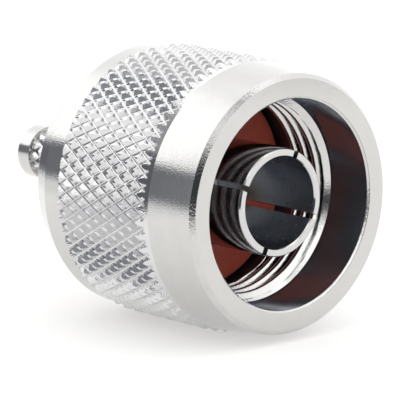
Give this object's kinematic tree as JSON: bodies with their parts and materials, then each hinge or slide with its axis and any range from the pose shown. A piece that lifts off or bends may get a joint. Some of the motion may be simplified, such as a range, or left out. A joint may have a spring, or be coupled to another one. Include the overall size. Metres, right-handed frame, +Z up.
{
  "type": "n type plug connector",
  "caption": "Round coaxial cable plug with a knurled coupling nut, a slotted sleeve contact, a gasket and a thin crimp tail.",
  "frame": {"origin": "on the axis, in the plane of the outer contact's rim", "axes": "+X along the connector's axis in the mating direction, towards the mouth of the nut; +Z up"},
  "size_m": [0.0298, 0.0208, 0.0208],
  "materials": {
    "nickel_plate": "bright nickel plate on turned brass",
    "contact_plate": "bright plate on spring brass",
    "spring_bronze": "satin spring bronze",
    "silicone_rubber": "satin red-brown silicone",
    "ptfe": "waxy white PTFE",
    "gold_plate": "bright gold plate"
  },
  "bodies": {
    "body": {"shell": "nickel_plate", "retaining_ring": "spring_bronze", "gasket": "silicone_rubber", "outer_contact": "contact_plate", "front_insulator": "ptfe", "centre_contact": "gold_plate", "rear_insulator": "ptfe", "crimp_stem": "nickel_plate"},
    "nut": {"coupling_nut": "nickel_plate"}
  },
  "joints": [
    {"name": "nut_spin", "type": "hinge", "parent": "body", "child": "nut", "pos_m": [0, 0, 0], "axis": [1, 0, 0], "continuous": true}
  ]
}
